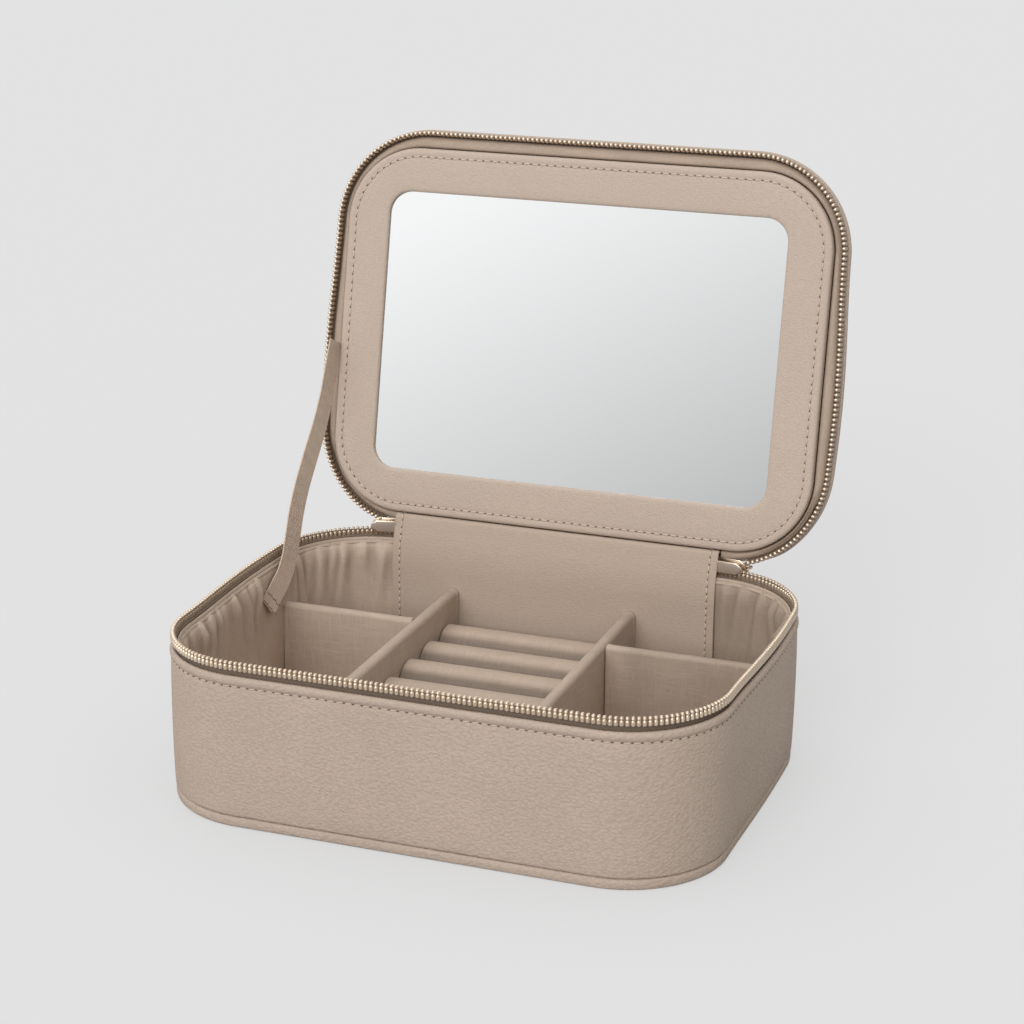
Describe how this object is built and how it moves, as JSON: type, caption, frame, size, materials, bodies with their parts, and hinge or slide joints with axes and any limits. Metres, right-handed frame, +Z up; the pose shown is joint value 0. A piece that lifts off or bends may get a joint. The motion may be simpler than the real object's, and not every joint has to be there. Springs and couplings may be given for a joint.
{
  "type": "makeup case",
  "caption": "Zip-around vanity case with a padded mirror lid held open by a ribbon stay, lined compartments, dividers and a tray of foam ring rolls.",
  "frame": {"origin": "middle of the underside, on the surface that the case stands on", "axes": "+Z up, -Y towards the front of the case, +X to the right seen from the front; lid open at rest"},
  "size_m": [0.22, 0.2141, 0.2304],
  "materials": {
    "case_leather": "satin",
    "panel_leather": "satin",
    "frame_leather": "satin",
    "board": "matte",
    "lining_cloth": "matte",
    "divider_cloth": "matte",
    "roll_cloth": "matte",
    "foam": "matte",
    "ribbon": "satin",
    "zip_tape": "matte",
    "zip_metal": "polished",
    "slider_metal": "satin",
    "mirror": "polished"
  },
  "bodies": {
    "base": {"base_side_cover": "case_leather", "base_bottom_panel": "case_leather", "base_floor_board": "board", "base_wall_board": "board", "base_facing_strip": "lining_cloth", "base_wall_lining": "lining_cloth", "floor_pad": "lining_cloth", "left_long_divider": "divider_cloth", "right_long_divider": "divider_cloth", "left_cross_divider": "divider_cloth", "right_cross_divider": "divider_cloth", "base_zip_tape": "zip_tape", "base_zip_teeth": "zip_metal", "zip_end_stops": "zip_metal", "hinge_panel": "panel_leather", "hinge_strap": "case_leather", "stay_ribbon": "ribbon", "ring_roll_1": "roll_cloth", "ring_roll_2": "roll_cloth", "ring_roll_3": "roll_cloth", "ring_roll_4": "roll_cloth", "ring_roll_5": "roll_cloth", "ring_roll_6": "roll_cloth", "ring_roll_7": "roll_cloth"},
    "lid": {"lid_cover": "case_leather", "lid_board": "board", "lid_padding": "foam", "lid_gusset": "lining_cloth", "lid_zip_tape": "zip_tape", "lid_zip_teeth": "zip_metal", "mirror_frame": "frame_leather", "mirror_glass": "mirror", "mirror_backing": "board"},
    "left_slider": {"left_slider": "slider_metal"},
    "right_slider": {"right_slider": "slider_metal"},
    "left_pull": {"left_pull": "slider_metal"},
    "right_pull": {"right_pull": "slider_metal"}
  },
  "joints": [
    {"name": "lid_hinge", "type": "hinge", "parent": "base", "child": "lid", "pos_m": [0, 0.0825, 0.0684], "axis": [1, 0, 0], "range_deg": [0, 101.7], "deforming": ["hinge_panel", "hinge_strap", "stay_ribbon"]},
    {"name": "left_slider_run", "type": "hinge", "parent": "base", "child": "left_slider", "pos_m": [-0.07, 0.04375, 0.0673], "axis": [0, 0, 1], "range_deg": [0, 70]},
    {"name": "right_slider_run", "type": "hinge", "parent": "base", "child": "right_slider", "pos_m": [0.07, 0.04375, 0.0673], "axis": [0, 0, -1], "range_deg": [0, 70]},
    {"name": "left_pull_swing", "type": "hinge", "parent": "left_slider", "child": "left_pull", "pos_m": [-0.07949, 0.08549, 0.0673], "axis": [0.9751, 0.2216, 0], "range_deg": [-4, 70]},
    {"name": "right_pull_swing", "type": "hinge", "parent": "right_slider", "child": "right_pull", "pos_m": [0.07949, 0.08549, 0.0673], "axis": [0.9751, -0.2216, 0], "range_deg": [-4, 70]}
  ]
}
